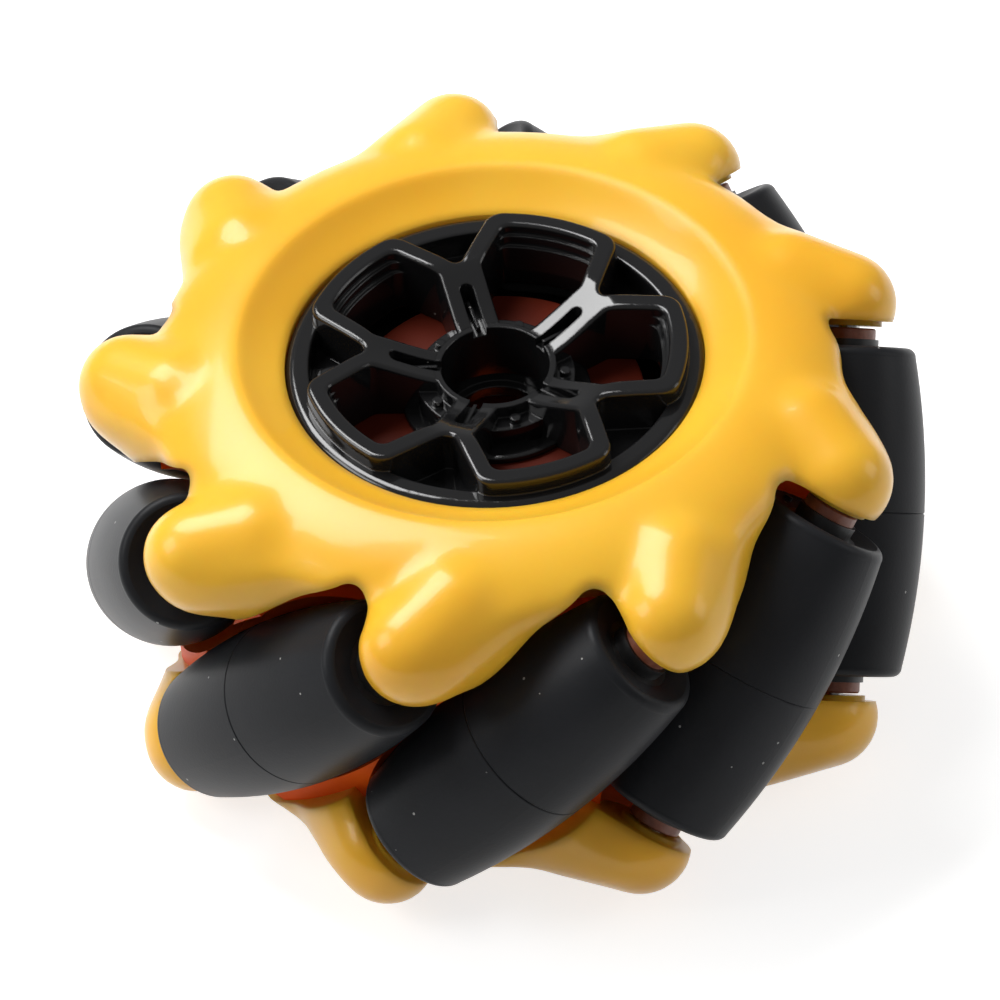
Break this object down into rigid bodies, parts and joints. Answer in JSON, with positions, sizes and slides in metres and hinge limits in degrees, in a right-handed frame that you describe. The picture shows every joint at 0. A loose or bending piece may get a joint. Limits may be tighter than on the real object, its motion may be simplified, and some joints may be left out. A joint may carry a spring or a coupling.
{
  "type": "mecanum wheel",
  "caption": "Omnidirectional wheel: yellow lobed side plates hold black rubber barrel rollers skewed around an orange drum, with a black spoked hub insert and a hexagonal drive socket.",
  "frame": {"origin": "centre of the wheel, on its axle line at mid-width", "axes": "+Z along the axle, out of the front face; +X through the middle of roller 1"},
  "size_m": [0.08, 0.08, 0.041],
  "materials": {
    "yellow_abs": "smooth moulded gloss",
    "orange_abs": "smooth moulded",
    "black_gloss": "polished moulded gloss",
    "black_core": "moulded",
    "tread_rubber": "satin moulded rubber",
    "brown_bush": "turned, satin",
    "steel": "plain ground steel"
  },
  "bodies": {
    "wheel": {"front_plate": "yellow_abs", "rear_plate": "yellow_abs", "core_drum": "orange_abs", "hub_insert": "black_gloss", "drive_hub": "black_gloss", "clamp_screws": "steel", "axle_pin_1": "steel", "axle_pin_2": "steel", "axle_pin_3": "steel", "axle_pin_4": "steel", "axle_pin_5": "steel", "axle_pin_6": "steel", "axle_pin_7": "steel", "axle_pin_8": "steel", "axle_pin_9": "steel"},
    "roller_1": {"roller_tread_1": "tread_rubber", "roller_core_1": "black_core", "front_bush_1": "brown_bush", "rear_bush_1": "brown_bush"},
    "roller_2": {"roller_tread_2": "tread_rubber", "roller_core_2": "black_core", "front_bush_2": "brown_bush", "rear_bush_2": "brown_bush"},
    "roller_3": {"roller_tread_3": "tread_rubber", "roller_core_3": "black_core", "front_bush_3": "brown_bush", "rear_bush_3": "brown_bush"},
    "roller_4": {"roller_tread_4": "tread_rubber", "roller_core_4": "black_core", "front_bush_4": "brown_bush", "rear_bush_4": "brown_bush"},
    "roller_5": {"roller_tread_5": "tread_rubber", "roller_core_5": "black_core", "front_bush_5": "brown_bush", "rear_bush_5": "brown_bush"},
    "roller_6": {"roller_tread_6": "tread_rubber", "roller_core_6": "black_core", "front_bush_6": "brown_bush", "rear_bush_6": "brown_bush"},
    "roller_7": {"roller_tread_7": "tread_rubber", "roller_core_7": "black_core", "front_bush_7": "brown_bush", "rear_bush_7": "brown_bush"},
    "roller_8": {"roller_tread_8": "tread_rubber", "roller_core_8": "black_core", "front_bush_8": "brown_bush", "rear_bush_8": "brown_bush"},
    "roller_9": {"roller_tread_9": "tread_rubber", "roller_core_9": "black_core", "front_bush_9": "brown_bush", "rear_bush_9": "brown_bush"}
  },
  "joints": [
    {"name": "roller_1_spin", "type": "hinge", "parent": "wheel", "child": "roller_1", "pos_m": [0.0321, 0, 0], "axis": [0, 0.7071, 0.7071], "continuous": true},
    {"name": "roller_2_spin", "type": "hinge", "parent": "wheel", "child": "roller_2", "pos_m": [0.02459, 0.02063, 0], "axis": [-0.4545, 0.5417, 0.7071], "continuous": true},
    {"name": "roller_3_spin", "type": "hinge", "parent": "wheel", "child": "roller_3", "pos_m": [0.00557, 0.03161, 0], "axis": [-0.6964, 0.1228, 0.7071], "continuous": true},
    {"name": "roller_4_spin", "type": "hinge", "parent": "wheel", "child": "roller_4", "pos_m": [-0.01605, 0.0278, 0], "axis": [-0.6124, -0.3536, 0.7071], "continuous": true},
    {"name": "roller_5_spin", "type": "hinge", "parent": "wheel", "child": "roller_5", "pos_m": [-0.03016, 0.01098, 0], "axis": [-0.2418, -0.6645, 0.7071], "continuous": true},
    {"name": "roller_6_spin", "type": "hinge", "parent": "wheel", "child": "roller_6", "pos_m": [-0.03016, -0.01098, 0], "axis": [0.2418, -0.6645, 0.7071], "continuous": true},
    {"name": "roller_7_spin", "type": "hinge", "parent": "wheel", "child": "roller_7", "pos_m": [-0.01605, -0.0278, 0], "axis": [0.6124, -0.3536, 0.7071], "continuous": true},
    {"name": "roller_8_spin", "type": "hinge", "parent": "wheel", "child": "roller_8", "pos_m": [0.00557, -0.03161, 0], "axis": [0.6964, 0.1228, 0.7071], "continuous": true},
    {"name": "roller_9_spin", "type": "hinge", "parent": "wheel", "child": "roller_9", "pos_m": [0.02459, -0.02063, 0], "axis": [0.4545, 0.5417, 0.7071], "continuous": true}
  ]
}
